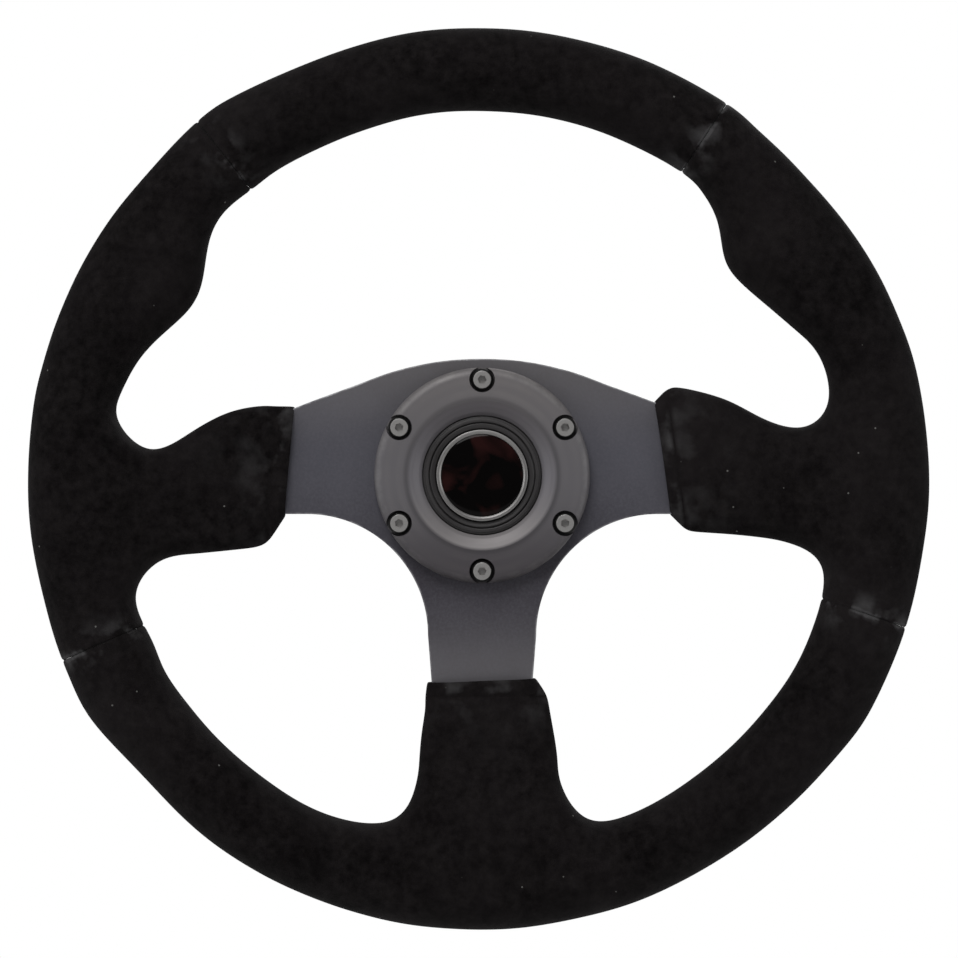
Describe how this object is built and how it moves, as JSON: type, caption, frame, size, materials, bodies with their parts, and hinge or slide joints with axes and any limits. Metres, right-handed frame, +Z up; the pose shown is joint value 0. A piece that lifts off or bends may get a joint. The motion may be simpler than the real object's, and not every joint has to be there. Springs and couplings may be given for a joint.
{
  "type": "quick release steering wheel",
  "caption": "Flat three-spoke motorsport steering wheel with a suede grip, a horn button and a pull-collar quick release coupler behind the hub.",
  "frame": {"origin": "centre of the coupler's rear face, on the steering axis, where the column's half enters", "axes": "+Y along the steering axis, away from the driver and towards the column; +Z up with the wheel straight ahead; +X to the driver's right"},
  "size_m": [0.3486, 0.0664, 0.3481],
  "materials": {
    "suede": "black suede with a short brushed nap, matt",
    "grip_foam": "moulded black polyurethane, matt, hidden under the suede",
    "plate_anodised": "satin dark blue-grey anodised",
    "ring_anodised": "satin warm grey anodised, turned",
    "screw_steel": "blackened steel, slightly bright on top",
    "plain_steel": "ground or drawn steel",
    "trim_satin": "satin grey, turned",
    "black_plastic": "moulded black, fine grain",
    "gloss_black": "polished black",
    "brass": "bright stamped and turned"
  },
  "bodies": {
    "wheel": {"suede_top": "suede", "suede_left": "suede", "suede_right": "suede", "suede_bottom": "suede", "grip_foam": "grip_foam", "spoke_plate": "plate_anodised", "coupler_body": "plate_anodised", "horn_retainer_ring": "ring_anodised", "clamp_bolt_1": "screw_steel", "clamp_bolt_2": "screw_steel", "clamp_bolt_3": "screw_steel", "clamp_bolt_4": "screw_steel", "clamp_bolt_5": "screw_steel", "clamp_bolt_6": "screw_steel", "rim_hoop": "plain_steel", "spline_sleeve": "plain_steel", "collar_spring": "plain_steel", "horn_return_spring": "plain_steel", "plunger_spring": "plain_steel", "snap_ring": "plain_steel", "horn_bezel": "black_plastic", "horn_cup": "black_plastic", "contact_insulator": "black_plastic", "horn_fixed_contact": "brass", "horn_terminal_1": "brass", "horn_terminal_2": "brass", "contact_terminal": "brass"},
    "horn_button": {"horn_cap": "black_plastic", "horn_trim_ring": "trim_satin", "horn_disc": "gloss_black", "horn_contact_disc": "brass"},
    "release_collar": {"release_collar": "ring_anodised"},
    "contact_plunger": {"contact_plunger": "brass"},
    "locking_ball_1": {"locking_ball_1": "plain_steel"},
    "locking_ball_2": {"locking_ball_2": "plain_steel"},
    "locking_ball_3": {"locking_ball_3": "plain_steel"},
    "locking_ball_4": {"locking_ball_4": "plain_steel"},
    "locking_ball_5": {"locking_ball_5": "plain_steel"},
    "locking_ball_6": {"locking_ball_6": "plain_steel"}
  },
  "joints": [
    {"name": "horn_press", "type": "slide", "parent": "wheel", "child": "horn_button", "axis": [0, 1, 0], "range_m": [0, 0.0025], "stiffness_N_per_m": 800, "springref_m": -0.004, "deforming": ["horn_return_spring"]},
    {"name": "collar_pull", "type": "slide", "parent": "wheel", "child": "release_collar", "axis": [0, -1, 0], "range_m": [0, 0.007], "stiffness_N_per_m": 1200, "springref_m": -0.008, "deforming": ["collar_spring"]},
    {"name": "plunger_push", "type": "slide", "parent": "wheel", "child": "contact_plunger", "axis": [0, -1, 0], "range_m": [0, 0.0015], "stiffness_N_per_m": 200, "springref_m": -0.003, "deforming": ["plunger_spring"]},
    {"name": "ball_1_slide", "type": "slide", "parent": "wheel", "child": "locking_ball_1", "axis": [1, 0, 0], "range_m": [0, 0.0013]},
    {"name": "ball_2_slide", "type": "slide", "parent": "wheel", "child": "locking_ball_2", "axis": [0.5, 0, 0.866], "range_m": [0, 0.0013]},
    {"name": "ball_3_slide", "type": "slide", "parent": "wheel", "child": "locking_ball_3", "axis": [-0.5, 0, 0.866], "range_m": [0, 0.0013]},
    {"name": "ball_4_slide", "type": "slide", "parent": "wheel", "child": "locking_ball_4", "axis": [-1, 0, 0], "range_m": [0, 0.0013]},
    {"name": "ball_5_slide", "type": "slide", "parent": "wheel", "child": "locking_ball_5", "axis": [-0.5, 0, -0.866], "range_m": [0, 0.0013]},
    {"name": "ball_6_slide", "type": "slide", "parent": "wheel", "child": "locking_ball_6", "axis": [0.5, 0, -0.866], "range_m": [0, 0.0013]}
  ],
  "couplings": [
    {"joint": "ball_1_slide", "follows": "collar_pull", "ratio": 0.18571},
    {"joint": "ball_2_slide", "follows": "collar_pull", "ratio": 0.18571},
    {"joint": "ball_3_slide", "follows": "collar_pull", "ratio": 0.18571},
    {"joint": "ball_4_slide", "follows": "collar_pull", "ratio": 0.18571},
    {"joint": "ball_5_slide", "follows": "collar_pull", "ratio": 0.18571},
    {"joint": "ball_6_slide", "follows": "collar_pull", "ratio": 0.18571}
  ]
}
